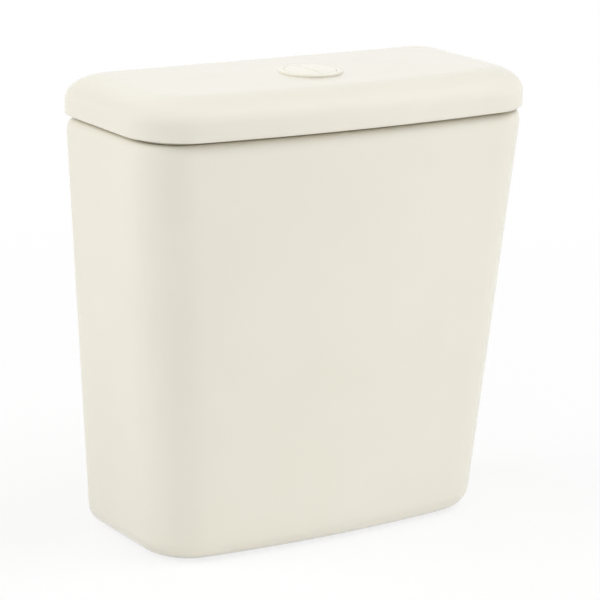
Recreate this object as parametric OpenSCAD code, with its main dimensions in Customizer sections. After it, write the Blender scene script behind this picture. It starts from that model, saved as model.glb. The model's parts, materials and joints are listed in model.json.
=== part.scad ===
// Close-coupled toilet cistern: glazed ceramic tank and lid, dual-flush push button in the lid,
// drop-type flush valve with overflow, and a bottom-entry fill valve.
// +X is right seen from the front, +Y points to the wall, +Z is up, in millimetres.
// The origin is the middle of the footprint, on the plane that the foot stands on.

/* [Tank] */
// Height of the rim above the foot
tank_h = 353.5; // [340:0.5:400]
// Width across the rim
rim_w = 376; // [366:1:420]
// Width across the base
base_w = 325; // [316:1:370]
// Depth at the rim, bowed front included
rim_d = 158; // [154:1:180]
// Depth at the base, bowed front included
base_d = 142; // [138:1:160]
// Rise of the bowed front over the width of the rim
front_bow = 12.5; // [8:0.5:18]
// Radius of the front corners at the rim
rim_corner_r = 42; // [36:1:52]
// Radius of the front corners at the base
base_corner_r = 47; // [40:1:54]
// Radius of the back corners
back_corner_r = 8; // [6:1:14]
// Least radius of the corners inside the walls
inner_corner_r = 4; // [3:0.5:5]
// Radius where the walls turn under the base
base_round = 18; // [14:0.5:20]
// Reach of the rounded shoulder below the lid
shoulder_w = 5; // [3:0.5:8]
// Height of the rounded shoulder
shoulder_h = 12; // [6:0.5:16]
// Thickness of the walls
wall_t = 10; // [8:0.5:12]
// Width of the rim ledge
rim_t = 16; // [14:0.5:19]
// Height of the thickened rim
rim_h = 14; // [10:1:20]
// Thickness of the floor
floor_t = 12; // [10:0.5:15]
// Height of the floor's underside above the foot
foot_h = 28; // [27:0.5:34]
// Width of the flat foot
foot_w = 5; // [4:0.5:8]
// Draft of the recess under the floor
recess_draft = 1.5; // [0.5:0.1:3]
// Radius between the floor and the inner walls
floor_round = 14; // [8:1:18]
// Distance between the two bowl bolt holes
bolt_spacing = 150; // [140:1:156]
// Diameter of the bowl bolt holes
bolt_hole_d = 12; // [10:0.5:14]

/* [Lid] */
// Height of the lid over its seat
lid_h = 36; // [31:0.5:38]
// Overhang of the lid at each side
lid_side_over = 2.75; // [1:0.25:5]
// Overhang of the lid at the front
lid_front_over = 3.25; // [1:0.25:6]
// Overhang of the lid at the back
lid_back_over = 10.25; // [6:0.25:16]
// Radius of the lid's front corners
lid_corner_r = 51.5; // [46:0.5:56]
// Radius of the lid's back corners
lid_back_corner_r = 25; // [18:1:30]
// Radius of the front corners where the top turns flat
lid_top_corner_r = 24; // [16:1:30]
// Radius of the back corners where the top turns flat
lid_top_back_r = 12; // [8:1:16]
// Height of the rounded edge
lid_round_h = 20.5; // [16:0.5:22]
// Reach of the rounded edge at the front and the sides
lid_round_w = 31.5; // [24:0.5:36]
// Reach of the rounded edge at the back
lid_round_back = 22; // [16:0.5:28]
// Radius of the lower edge
lid_edge_r = 3; // [2:0.25:4]
// Height of the open seam between the lid's edge and the rim
seam_h = 2.7; // [0.8:0.1:3.5]
// Distance of the seat's outer edge inside the rim's outline
seat_in = 9; // [8:0.25:11]
// Thickness of the top
lid_t = 10; // [8:0.5:12]
// Radius between the top's underside and the hollow's walls
lid_hollow_round = 8; // [5:0.5:10]
// Height of the locating lip below the seat
lip_h = 8; // [5:0.5:12]
// Thickness of the locating lip
lip_t = 7; // [5:0.5:9]
// Gap between the lip and the tank's mouth
lip_gap = 3; // [2:0.25:4]

/* [Push button] */
// Distance of the button's axis in front of the lid's middle
button_off = 4; // [2:0.5:6]
// Diameter of the bezel
bezel_d = 53; // [52:0.5:58]
// Height of the bezel over the lid
bezel_h = 2.2; // [1.8:0.1:3]
// Rounding of the bezel's top edge
bezel_round = 1.2; // [0.8:0.1:1.6]
// Outer diameter of the threaded sleeve
sleeve_d = 48; // [47:0.5:49]
// Wall of the sleeve
sleeve_t = 2; // [1.5:0.1:2.2]
// Length of the sleeve below the lid's top
sleeve_l = 36; // [35:0.5:40]
// Thickness of the web that closes the sleeve
web_t = 2.5; // [2:0.1:3.5]
// Height of the buttons' crown over their rims
dome_h = 0.9; // [0.5:0.1:1.5]
// Thickness of the button tops at the rim
cap_t = 2.4; // [2:0.1:3]
// Wall of the button skirts
skirt_t = 1.5; // [1.2:0.1:1.8]
// Height of the button skirts
skirt_h = 17; // [15:0.5:19]
// Place of the split between the buttons, from the axis
split_x = -2; // [-2.5:0.1:0]
// Width of the split
split_gap = 0.8; // [0.6:0.1:1.2]
// Width of the stop lugs on the skirts
lug_w = 6; // [4:0.5:8]
// Height of the stop lugs
lug_h = 3; // [2:0.25:4]
// How far the lugs reach into the sleeve's wall
lug_out = 1.6; // [1.2:0.1:1.8]
// Travel of the buttons
press = 7; // [6:0.25:7.5]
// Diameter of the push rods
rod_d = 5; // [4:0.25:5.5]
// Distance of the push rods from the middle plane
rod_x = 10; // [9.5:0.25:10.5]
// Distance of the push rods in front of the button's axis
rod_off = 10; // [8:0.25:10.5]
// Wall of the sockets that hold the rods
socket_t = 1.3; // [1:0.1:1.5]
// Depth of the sockets
socket_h = 10; // [8:0.5:12]
// Diameter of the rounded rod tips
tip_d = 8; // [7:0.25:9]
// Wire of the return springs
wire_d = 0.9; // [0.7:0.1:1]
// Turns of the return springs
spring_turns = 9; // [7:1:11]
// Thickness of the washer under the lid
button_washer_t = 2; // [1.5:0.1:3]
// Width of the washer under the lid
button_washer_w = 7; // [5:0.5:9]
// Height of the ring nut
nut_h = 8; // [6:0.5:10]
// Wall of the ring nut
nut_w = 5; // [4:0.5:7]
// Reach of the grips on the ring nut
grip_out = 3; // [2:0.25:4]
// Count of the grips on the ring nut
grip_count = 8; // [6:1:10]

/* [Flush valve] */
// Diameter of the threaded outlet tail
tail_d = 47.8; // [46:0.1:50]
// Diameter of the tail's plain end below its thread
spigot_d = 46.8; // [45:0.1:47]
// Wall of the outlet tail
tail_t = 4; // [3:0.25:4.5]
// Height of the tail ends above the foot
tail_end = 3; // [2.5:0.25:5]
// Diameter of the base flange
flange_d = 72; // [71:0.5:76]
// Thickness of the base flange
flange_t = 4; // [3:0.25:5]
// Thickness of the sealing washer
flush_washer_t = 3; // [2:0.25:4]
// Diameter of the sealing washer
flush_washer_d = 69; // [64:0.5:70]
// Height of the valve seat over the flange
seat_h = 7; // [6:0.25:9]
// Chamfer of the valve seat
seat_chamfer = 1; // [0.5:0.1:1.5]
// Height of the ports between flange and ring
port_h = 31; // [28:0.5:36]
// Height of the rings of base and cage
ring_h = 6; // [5:0.5:8]
// Wall of the rings of base and cage
ring_t = 6.5; // [5:0.25:7]
// Count of the posts between the ports
post_count = 6; // [4:1:8]
// Width of the posts
post_w = 5; // [4:0.5:7]
// Height of the backnut
backnut_h = 12; // [10:0.5:13]
// Size of the backnut across its corners
backnut_d = 72; // [68:0.5:74]
// Diameter of the coupling gasket
gasket_d = 84; // [82:0.5:87]
// Wall of the gasket's collar round the backnut
gasket_wall = 5; // [4:0.25:6]
// Taper of the gasket's outside
gasket_taper = 5; // [3:0.5:7]
// Gap between the gasket and the foot plane
gasket_lift = 2; // [1.5:0.25:3]
// Diameter of the overflow tube
tube_d = 30; // [28:0.5:31]
// Wall of the overflow tube
tube_t = 2.5; // [2:0.1:3]
// Height of the overflow tube's top over the cage's top plate
overflow_h = 11; // [9.5:0.5:22]
// Diameter of the seal's carrier
carrier_d = 53; // [51:0.5:55]
// Thickness of the seal's carrier
carrier_t = 4; // [3:0.25:5]
// Height of the ribs on the carrier
carrier_rib_h = 10; // [6:0.5:14]
// Thickness of the seal
seal_t = 3; // [2:0.25:4]
// Diameter of the seal
seal_d = 51; // [49:0.5:52]
// Diameter of the seal's retaining ring
retainer_d = 36; // [34:0.5:37]
// Thickness of the seal's retaining ring
retainer_t = 4; // [3:0.25:5]
// Gap between the retaining ring and the throat of the outlet
throat_gap = 2.2; // [2:0.1:2.8]
// Wall of the retainer's neck
neck_t = 2; // [1.5:0.1:2.5]
// Length of the retainer's neck inside the tube
neck_l = 9; // [6:0.5:12]
// Height of the full-flush float's lower rim above the floor
full_float_at = 78; // [72:1:90]
// Height of the full-flush float
full_float_h = 42; // [34:1:48]
// Diameter of the full-flush float
full_float_d = 54; // [50:0.5:56]
// Gap between the full-flush float and the rings of base and cage
float_room = 2.5; // [2:0.1:3.5]
// Wall of the floats
float_t = 1.8; // [1.5:0.1:2.2]
// Height of the cage's top plate above the floor
cage_h = 204; // [200:1:206]
// Thickness of the cage's top plate
plate_t = 8; // [6:0.5:9]
// Length of the guide below the top plate
guide_l = 10; // [6:0.5:14]
// Wall of the guide
guide_t = 3.5; // [2.5:0.25:4.5]
// Width of the cage's columns
column_w = 9; // [7:0.5:11]
// Distance of the cage's stiffening ring below its top plate
stiffener_at = 76; // [70:1:78]
// Reach of the bayonet tabs over the base's ring
tab_h = 5; // [3:0.5:6]
// Thickness of the bayonet tabs
tab_t = 2; // [1.5:0.25:2.5]
// Width of the bayonet tabs
tab_w = 14; // [10:0.5:18]

/* [Flush levers] */
// Height of the lever pin over the cage's top plate
pivot_h = 38; // [34:1:46]
// Distance from the push rods to the lever pin
push_arm = 12; // [11:0.25:13]
// Reach of the levers in front of the push rods
pad_reach = 6; // [5:0.25:7]
// Reach of the levers behind the pin
lift_reach = 22; // [20:0.5:24]
// Distance from the pin to the front of the bars that the levers lift
bar_at = 10; // [9:0.25:11]
// Depth of the bars that the levers lift
bar_d = 6; // [5:0.25:6.5]
// Height of the bars
bar_h = 5; // [4:0.25:7]
// Width of the levers
lever_w = 8; // [6:0.5:8]
// Thickness of the levers
lever_t = 4; // [3.5:0.25:5]
// Height of the levers' top face over the pin
lever_top = 3; // [2.75:0.25:3.5]
// Diameter of the lever hubs
hub_d = 10; // [9:0.5:11]
// Diameter of the lever pin
pin_d = 4; // [3:0.25:4.5]
// Distance between the cheeks beyond the width of the yoke's ring
cheek_span = 2.8; // [2.2:0.1:5]
// Thickness of the cheeks
cheek_t = 3.5; // [3:0.25:5]
// Depth of the cheeks
cheek_d = 15; // [12:0.5:16]
// Width of the yoke's tongue
tongue_w = 8; // [6:0.25:8]
// Thickness of the yoke
yoke_t = 3; // [2.5:0.1:3.2]
// Height of the yoke's clip ring
yoke_ring_h = 7.5; // [6:0.25:8]
// Distance of the yoke's ring below the top of the tube
yoke_drop = 1; // [0.5:0.25:1.5]

/* [Half flush] */
// Distance of the trip rod from the middle plane
trip_x = 44; // [43:0.5:47]
// Diameter of the trip rod
trip_d = 5; // [4:0.25:6]
// Wall of the trip rod's guides
eye_t = 3.5; // [2.5:0.25:4]
// Length of the trip rod below its lower guide
trip_end = 4; // [2:0.5:8]
// Height of the half-flush float's lower rim over the lower guide
half_float_at = 5; // [3:0.5:6]
// Height of the half-flush float
half_float_h = 38; // [32:1:40]
// Diameter of the half-flush float
half_float_d = 30; // [26:0.5:32]
// Wall of the float's clamp on the trip rod
clamp_t = 2.5; // [2:0.25:3]
// Height of the float's clamp
clamp_h = 20; // [14:0.5:26]

/* [Fill valve] */
// Distance of the inlet from the side of the base
inlet_x = 52.5; // [46.5:0.5:56]
// Diameter of the threaded inlet tail
inlet_d = 20.9; // [20:0.1:21.5]
// Diameter of the inlet's bore
inlet_bore = 12; // [10:0.25:13]
// Diameter of the shank's flange
inlet_flange_d = 34; // [32:0.5:38]
// Thickness of the shank's flange
inlet_flange_t = 4; // [3:0.25:5]
// Thickness of the inlet washer
inlet_washer_t = 2; // [1.5:0.25:3]
// Diameter of the inlet washer
inlet_washer_d = 32; // [30:0.5:32]
// Height of the inlet backnut
inlet_nut_h = 9; // [7:0.5:11]
// Size of the inlet backnut across its corners
inlet_nut_d = 34; // [31:0.5:36]
// Length of the inlet filter
filter_l = 22; // [16:0.5:26]
// Thickness of the filter's fins
filter_t = 1.2; // [0.8:0.1:1.6]
// Diameter of the shank inside the tank
shank_d = 18; // [17:0.25:18.5]
// Height of the shank above the floor
shank_h = 175; // [160:1:178]
// Height of the sliding body's lower end above the floor
body_at = 70; // [64:1:74]
// Diameter of the sliding body
body_d = 26; // [25.5:0.25:27]
// Height of the lock nut
lock_h = 9.5; // [8:0.25:11]
// Diameter of the lock nut
lock_d = 30; // [28:0.5:33]
// Height of the float's rest position above the floor
fill_float_at = 110; // [106:1:113]
// Height of the stop ring below the float
stop_h = 5.5; // [4:0.25:7]
// Diameter of the stop ring
stop_d = 31; // [29:0.5:33]
// Height of the fill float
fill_float_h = 50; // [44:1:54]
// Diameter of the fill float
fill_float_d = 54; // [50:0.5:58]
// Diameter of the valve head
head_d = 38; // [36:0.5:40]
// Height of the valve head
head_h = 16; // [14:0.5:18]
// Height of the head's top above the floor
head_top = 218; // [214:1:224]
// Height of the head's cone
head_cone = 5; // [3:0.5:6]
// Thickness of the diaphragm
diaphragm_t = 2.5; // [2:0.25:3.5]
// Diameter of the diaphragm
diaphragm_d = 36; // [33:0.5:36]
// Thickness of the cap's top
cap_top_t = 7.5; // [6:0.25:9]
// Wall of the cap
cap_wall = 2.1; // [1.8:0.1:2.6]
// Height of the cap's skirt below the head's top
cap_skirt = 12; // [9:0.5:13]
// Count of the cap's grip ribs
cap_rib_count = 12; // [8:1:16]
// Width of the cap's grip ribs
cap_rib_w = 3; // [2:0.25:4]
// Distance from the inlet's axis to the adjuster
adjuster_off = 34; // [32.5:0.25:36]
// Distance from the inlet's axis to the arm's pin
arm_back = 8; // [6:0.25:9]
// Height of the arm's pin over the cap
arm_pin_h = 8.5; // [8:0.25:10]
// Diameter of the arm's pin
arm_pin_d = 3; // [2.5:0.1:3.5]
// Width of the float arm
arm_w = 8; // [7:0.25:9]
// Thickness of the float arm
arm_t = 4; // [3:0.25:4.25]
// Angle of the float arm below level at rest
arm_drop = 10; // [8:0.25:10.5]
// Diameter of the eye at the arm's end
eye_d = 14; // [13:0.5:15]
// Thickness of the arm's ears
ear_t = 3; // [2.5:0.25:4]
// Diameter of the adjuster's screw
adjuster_d = 4; // [3.5:0.1:4.25]
// Diameter of the adjuster's collars
collar_d = 10; // [9:0.25:11]
// Height of the adjuster's collars
collar_h = 4; // [3:0.25:5]

/* [Clearances] */
// Gap between moving pieces at rest, and between the lid and the rim
rest_gap = 0.3; // [0.2:0.05:0.5]
// Gap between the push rods or levers and what they act on
touch_gap = 0.4; // [0.3:0.05:0.6]
// Radial gap of running fits
run_gap = 0.1; // [0.05:0.01:0.15]
// Radial gap of the buttons and the sliding tubes
slide_gap = 0.4; // [0.3:0.05:0.5]
// Radial gap of fixed pieces on their threads
thread_gap = 0.1; // [0.05:0.01:0.3]
// Radial gap of the tank's and lid's holes round the threads
hole_gap = 1; // [0.6:0.1:2]

/* [Hidden] */
$fn = 64;

// Overlap of cutting tools past the faces that they cut
cut = 1;
// Steps along the bowed front, the corners and the rounded edges
bow_steps = 7;
corner_steps = 9;
back_steps = 4;
round_steps = 6;
edge_steps = 3;
dome_steps = 9;
// Rings in a turn of a spring, and sides of its wire
turn_rings = 8;
wire_sides = 6;
// Counts and small sizes of the hidden mechanism
column_count = 4;
tab_count = 3;
carrier_rib_count = 6;
fin_count = 4;
fin_h = 8;
fin_d = 5;
post_inset = 0.5;
pin_over = 2;
pin_head_over = 2;
arm_head_over = 0.9;
boss_h = 15;
slide_room = 2;
nut_clear = 1;
relief_t = 0.8;
socket_root = 0.5;
eye_gap = 1.4;
gasket_bore_gap = 2;
gasket_nut_gap = 0.8;
// Shares of the pieces that they shape: cheek tops, lever tips and bellies, ears of the arm
cheek_top_share = 0.8;
tip_share = 0.75;
belly_share = 1.5;
ear_share = 0.9;
// Colours
glaze = [0.92, 0.90, 0.84];
cream = [0.95, 0.93, 0.88];
white = [0.93, 0.94, 0.94];
grey = [0.55, 0.57, 0.60];
blue = [0.20, 0.42, 0.68];
green = [0.30, 0.62, 0.45];
rubber = [0.12, 0.12, 0.13];
steel = [0.75, 0.76, 0.78];

// Places across: the lid's depth is centred on the origin
lid_d = rim_d + lid_front_over + lid_back_over;
back_y = lid_d / 2 - lid_back_over;
outlet_y = back_y - base_d / 2;
inlet_at = base_w / 2 - inlet_x;
button_y = -button_off;
rod_y = button_y - rod_off;
pivot_y = rod_y + push_arm;
bar_y = pivot_y + bar_at;
trip_y = bar_y + bar_d / 2;
arm_pin_y = outlet_y + arm_back;
adjuster_y = outlet_y - adjuster_off;

// Heights of the tank and the lid
floor_z = foot_h + floor_t;
seat_z = tank_h + rest_gap;
lid_top = seat_z + lid_h;
lid_under = lid_top - lid_t;

// Heights of the flush valve
spigot_z = foot_h - backnut_h - nut_clear;
flange_z = floor_z + flush_washer_t;
collar_z = flange_z + flange_t;
valve_seat_z = collar_z + seat_h;
port_top = collar_z + port_h;
cage_z = port_top + ring_h;
seal_z = valve_seat_z + rest_gap;
carrier_z = seal_z + seal_t;
throat_z = seal_z - retainer_t - slide_room;
plate_z = floor_z + cage_h;
stiffener_z = plate_z - stiffener_at;
overflow_z = plate_z + overflow_h;
pivot_z = plate_z + pivot_h;
bar_z = pivot_z + lever_top + touch_gap;
tip_z = pivot_z + lever_top + touch_gap + tip_d / 2;

// Heights of the fill valve
inlet_flange_z = floor_z + inlet_washer_t;
relief_z = foot_h - inlet_nut_h - nut_clear;
body_z = floor_z + body_at;
fill_float_z = floor_z + fill_float_at;
head_z = floor_z + head_top;
cap_under = head_z + diaphragm_t;
cap_z = cap_under + cap_top_t;
arm_pin_z = cap_z + arm_pin_h;
arm_l = arm_back + adjuster_off;
arm_tip_z = arm_pin_z - arm_l * sin(arm_drop);
collar_gap = arm_t / 2 + collar_d / 2 * sin(arm_drop) + touch_gap;

// Heights of the button
bezel_top = lid_top + bezel_h;
web_z = lid_top - sleeve_l;
web_top = web_z + web_t;
button_r = sleeve_d / 2 - sleeve_t - slide_gap;
cap_under_z = bezel_top - cap_t;
socket_z = cap_under_z - socket_h;
skirt_z = cap_under_z - skirt_h;

// Radii that fit into each other
sleeve_r = sleeve_d / 2;
tail_r = tail_d / 2;
tail_bore_r = tail_r - tail_t;
tube_r = tube_d / 2;
tube_bore_r = tube_r - tube_t;
throat_r = retainer_d / 2 + throat_gap;
ring_bore_r = full_float_d / 2 + float_room;
ring_r = ring_bore_r + ring_t;
cheek_in = tube_r + thread_gap + yoke_t + cheek_span / 2;
inlet_r = inlet_d / 2;
body_bore_r = shank_d / 2 + rest_gap;
cap_bore_r = max(head_d, diaphragm_d) / 2 + slide_gap;
cap_r = cap_bore_r + cap_wall;
socket_r = rod_d / 2 + thread_gap + socket_t;
spring_r = socket_r + rest_gap + wire_d / 2;
trip_hole_r = trip_d / 2 + run_gap;

// Share of the height from base to rim
function mix(low, high, share) = low + (high - low) * share;
function tank_half(z) = mix(base_w, rim_w, z / tank_h) / 2;
function tank_front(z) = back_y - mix(base_d, rim_d, z / tank_h);
function tank_corner(z) = mix(base_corner_r, rim_corner_r, z / tank_h);
function bow_radius(half) = (half * half + front_bow * front_bow) / (2 * front_bow);

// Outline of a section: bowed front, tangent front corners, flat sides, rounded back corners
function outline(half, front, back, corner, back_corner, bow_r) =
  let (
    bow_y = front + bow_r,
    corner_x = half - corner,
    corner_y = bow_y - sqrt(pow(bow_r - corner, 2) - pow(corner_x, 2)),
    turn = atan2(corner_x, bow_y - corner_y),
    right = concat(
      [for (i = [0 : bow_steps])
        let (a = turn * i / bow_steps)
        [bow_r * sin(a), bow_y - bow_r * cos(a)]],
      [for (i = [1 : corner_steps])
        let (a = mix(turn, 90, i / corner_steps))
        [corner_x + corner * sin(a), corner_y - corner * cos(a)]],
      [for (i = [0 : back_steps])
        let (a = 90 * i / back_steps)
        [half - back_corner + back_corner * cos(a), back - back_corner + back_corner * sin(a)]]
    )
  )
  concat(right, [for (i = [len(right) - 1 : -1 : 1]) [-right[i][0], right[i][1]]]);

// Ring of points at height z, on the tank's outline at the height plan_z, drawn in by inset
function tank_ring(z, inset, plan_z) =
  let (
    half = tank_half(plan_z),
    section = outline(half - inset, tank_front(plan_z) + inset, back_y - inset,
                      tank_corner(plan_z) - inset, max(back_corner_r - inset, inner_corner_r),
                      bow_radius(half) - inset)
  )
  [for (p = section) [p[0], p[1], z]];

// Ring of points of the lid at height z, drawn in by a share of the rounded edge's reach
function lid_ring(z, inset, share) =
  let (
    half = rim_w / 2 + lid_side_over,
    reach = inset + lid_round_w * share,
    section = outline(half - reach, tank_front(tank_h) - lid_front_over + reach,
                      back_y + lid_back_over - inset - lid_round_back * share,
                      mix(lid_corner_r, lid_top_corner_r, share) - inset,
                      mix(lid_back_corner_r, lid_top_back_r, share) - inset,
                      bow_radius(half) - reach)
  )
  [for (p = section) [p[0], p[1], z]];

// Closed skin over a chain of rings, with a flat face on the first and the last ring
module loft(rings) {
  count = len(rings[0]);
  last = len(rings) - 1;
  sides = [for (k = [0 : last - 1], i = [0 : count - 1])
    let (
      j = (i + 1) % count,
      low = k * count,
      high = low + count
    )
    each [[low + i, high + i, high + j], [low + i, high + j, low + j]]];
  first_face = [for (i = [0 : count - 1]) i];
  last_face = [for (i = [count - 1 : -1 : 0]) last * count + i];
  polyhedron([for (ring = rings) each ring], concat([first_face], sides, [last_face]));
}

module at_outlet() {
  translate([0, outlet_y, 0]) children();
}

module at_inlet() {
  translate([inlet_at, outlet_y, 0]) children();
}

module at_button() {
  translate([0, button_y, 0]) children();
}

// Upright cylinder between two heights
module post(r, low, high) {
  translate([0, 0, low]) cylinder(r = r, h = high - low);
}

// Upright ring between two heights
module ring(r_out, r_in, low, high) {
  difference() {
    post(r_out, low, high);
    post(r_in, low - cut, high + cut);
  }
}

// Box from its lowest to its highest corner
module block(low, high) {
  translate(low) cube(high - low);
}

// Extrusion along X between two places, of an outline drawn in Y and Z
module along_x(x_low, x_high) {
  translate([x_low, 0, 0]) rotate([90, 0, 90]) linear_extrude(x_high - x_low) children();
}

// Cylinder along X between two places, at a height and a depth
module cross_pin(r, x_low, x_high, y, z) {
  translate([x_low, y, z]) rotate([0, 90, 0]) cylinder(r = r, h = x_high - x_low);
}

// Copies round the Z axis
module around(count) {
  for (i = [0 : count - 1]) rotate([0, 0, 360 / count * i]) children();
}

// Inverted cup with a hub: closed top, open below
module float_cup(r_out, r_in, low, high) {
  rotate_extrude() polygon([
    [r_in, low], [r_in + float_t, low], [r_in + float_t, high - float_t],
    [r_out - float_t, high - float_t], [r_out - float_t, low], [r_out, low],
    [r_out, high - float_t], [r_out - float_t, high], [r_in, high]
  ]);
}

// Tank

module tank() {
  inset = base_round + foot_w;
  skin = concat(
    [tank_ring(foot_h, inset + recess_draft, 0), tank_ring(0, inset, 0)],
    [for (i = [0 : round_steps])
      let (a = 90 * i / round_steps, z = base_round * (1 - cos(a)))
      tank_ring(z, base_round * (1 - sin(a)), z)],
    [for (i = [0 : round_steps])
      let (a = 90 * i / round_steps, z = tank_h - shoulder_h * (1 - sin(a)))
      tank_ring(z, shoulder_w * (1 - cos(a)), z)],
    [tank_ring(tank_h, rim_t, tank_h),
     tank_ring(tank_h - rim_h, rim_t, tank_h - rim_h),
     tank_ring(tank_h - rim_h - rim_t + wall_t, wall_t, tank_h - rim_h - rim_t + wall_t)],
    [for (i = [round_steps : -1 : 0])
      let (a = 90 * i / round_steps, z = floor_z + floor_round * (1 - cos(a)))
      tank_ring(z, wall_t + floor_round * (1 - sin(a)), z)]
  );
  color(glaze) difference() {
    loft(skin);
    at_outlet() {
      post(tail_r + hole_gap, foot_h - cut, floor_z + cut);
      post(gasket_d / 2 + gasket_bore_gap, -cut, foot_h - rest_gap);
      for (side = [-1, 1])
        translate([side * bolt_spacing / 2, 0, 0])
          post(bolt_hole_d / 2, foot_h - cut, floor_z + cut);
    }
    at_inlet() post(inlet_r + hole_gap, foot_h - cut, floor_z + cut);
  }
}

// Lid

module lid() {
  lip_in = rim_t + lip_gap + lip_t;
  skin = concat(
    [for (i = [0 : edge_steps])
      let (a = 90 * i / edge_steps)
      tank_ring(lid_under - lid_hollow_round * (1 - cos(a)), lip_in + lid_hollow_round * (1 - sin(a)),
                tank_h)],
    [tank_ring(seat_z - lip_h, lip_in, tank_h),
     tank_ring(seat_z - lip_h, rim_t + lip_gap, tank_h),
     tank_ring(seat_z, rim_t + lip_gap, tank_h),
     tank_ring(seat_z, seat_in, tank_h),
     tank_ring(seat_z + seam_h, seat_in - seam_h, tank_h)],
    [for (i = [0 : edge_steps])
      let (a = 90 * i / edge_steps)
      lid_ring(seat_z + seam_h + lid_edge_r * (1 - cos(a)), lid_edge_r * (1 - sin(a)), 0)],
    [for (i = [0 : dome_steps])
      let (a = 90 * i / dome_steps)
      lid_ring(lid_top - lid_round_h * (1 - sin(a)), 0, 1 - cos(a))]
  );
  color(glaze) difference() {
    loft(skin);
    at_button() post(sleeve_r + hole_gap, lid_under - cut, lid_top + cut);
  }
}

// Push button

// Half space on one side of the split between the buttons, drawn in by inset
module split_side(side, inset, low, high) {
  edge = split_x + side * (split_gap / 2 + inset);
  x_low = side > 0 ? edge : edge - bezel_d;
  block([x_low, -bezel_d, low], [x_low + bezel_d, bezel_d, high]);
}

// One button: domed top, skirt with a stop lug, and the socket of its push rod
module button(side) {
  lug_in = button_r - skirt_t / 2;
  lug_tip = button_r + slide_gap + lug_out;
  dome = [for (i = [0 : dome_steps])
    let (share = 1 - i / dome_steps)
    [button_r * share, bezel_top + dome_h * (1 - pow(share, 2))]];
  at_button() {
    difference() {
      intersection() {
        rotate_extrude() polygon(concat([[0, skirt_z], [button_r, skirt_z]], dome));
        split_side(side, 0, skirt_z - cut, bezel_top + dome_h + cut);
      }
      intersection() {
        post(button_r - skirt_t, skirt_z - cut, cap_under_z);
        split_side(side, skirt_t, skirt_z - cut, cap_under_z);
      }
    }
    mirror([side > 0 ? 0 : 1, 0, 0])
      block([lug_in, -lug_w / 2, skirt_z], [lug_tip, lug_w / 2, skirt_z + lug_h]);
    translate([side * rod_x, -rod_off, 0]) difference() {
      post(socket_r, socket_z, cap_under_z + socket_root);
      post(rod_d / 2 + thread_gap, socket_z - cut, cap_under_z);
    }
  }
}

// Push rod with a rounded tip, up to the end of its socket
module push_rod(side) {
  translate([side * rod_x, rod_y, 0]) {
    post(rod_d / 2, tip_z, cap_under_z - rest_gap);
    translate([0, 0, tip_z]) sphere(r = tip_d / 2);
  }
}

// Helical spring round a push rod, from the web to the underside of the button
module button_spring(side) {
  low = web_top + rest_gap + wire_d / 2;
  high = cap_under_z - rest_gap - wire_d / 2;
  steps = spring_turns * turn_rings;
  pitch = (high - low) / spring_turns;
  slope = atan2(pitch, 2 * PI * spring_r);
  rings = [for (k = [0 : steps])
    let (a = 360 * k / turn_rings, z = mix(low, high, k / steps))
    [for (i = [0 : wire_sides - 1])
      let (
        b = -360 * i / wire_sides,
        r = spring_r + wire_d / 2 * cos(b),
        up = wire_d / 2 * sin(b)
      )
      [r * cos(a) + up * sin(slope) * sin(a), r * sin(a) - up * sin(slope) * cos(a),
       z + up * cos(slope)]]];
  gaps = [for (k = [0 : steps - turn_rings], i = [0 : wire_sides - 1], j = [0 : wire_sides - 1])
    norm(rings[k][i] - rings[k + turn_rings][j])];
  echo(least_gap_between_turns = min(gaps));
  translate([side * rod_x, rod_y, 0]) loft(rings);
}

module button_bezel() {
  bore_r = sleeve_r - sleeve_t;
  edge = [for (i = [0 : edge_steps])
    let (a = 90 * i / edge_steps)
    [bezel_d / 2 - bezel_round * (1 - cos(a)), bezel_top - bezel_round * (1 - sin(a))]];
  color(cream) at_button() difference() {
    rotate_extrude() polygon(concat(
      [[0, web_z], [sleeve_r, web_z], [sleeve_r, lid_top], [bezel_d / 2, lid_top]],
      edge,
      [[bore_r, bezel_top], [bore_r, web_top], [0, web_top]]
    ));
    for (side = [-1, 1]) {
      translate([side * rod_x, -rod_off, 0]) post(rod_d / 2 + run_gap, web_z - cut, web_top + cut);
      mirror([side > 0 ? 0 : 1, 0, 0])
        block([bore_r - cut, -lug_w / 2 - slide_gap, skirt_z - press - rest_gap],
              [sleeve_r + cut, lug_w / 2 + slide_gap, skirt_z + lug_h + rest_gap]);
    }
  }
}

module button_washer() {
  color(rubber) at_button()
    ring(sleeve_r + button_washer_w, sleeve_r + thread_gap, lid_under - button_washer_t, lid_under);
}

module button_nut() {
  top = lid_under - button_washer_t;
  color(white) at_button() difference() {
    union() {
      post(sleeve_r + nut_w, top - nut_h, top);
      around(grip_count)
        block([sleeve_r + nut_w / 2, -grip_out / 2, top - nut_h],
              [sleeve_r + nut_w + grip_out, grip_out / 2, top]);
    }
    post(sleeve_r + thread_gap, top - nut_h - cut, top + cut);
  }
}

module full_flush_button() {
  color(cream) button(1);
}

module half_flush_button() {
  color(cream) button(-1);
}

module full_push_rod() {
  color(white) push_rod(1);
}

module half_push_rod() {
  color(white) push_rod(-1);
}

module full_button_spring() {
  color(steel) button_spring(1);
}

module half_button_spring() {
  color(steel) button_spring(-1);
}

// Flush valve

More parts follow.
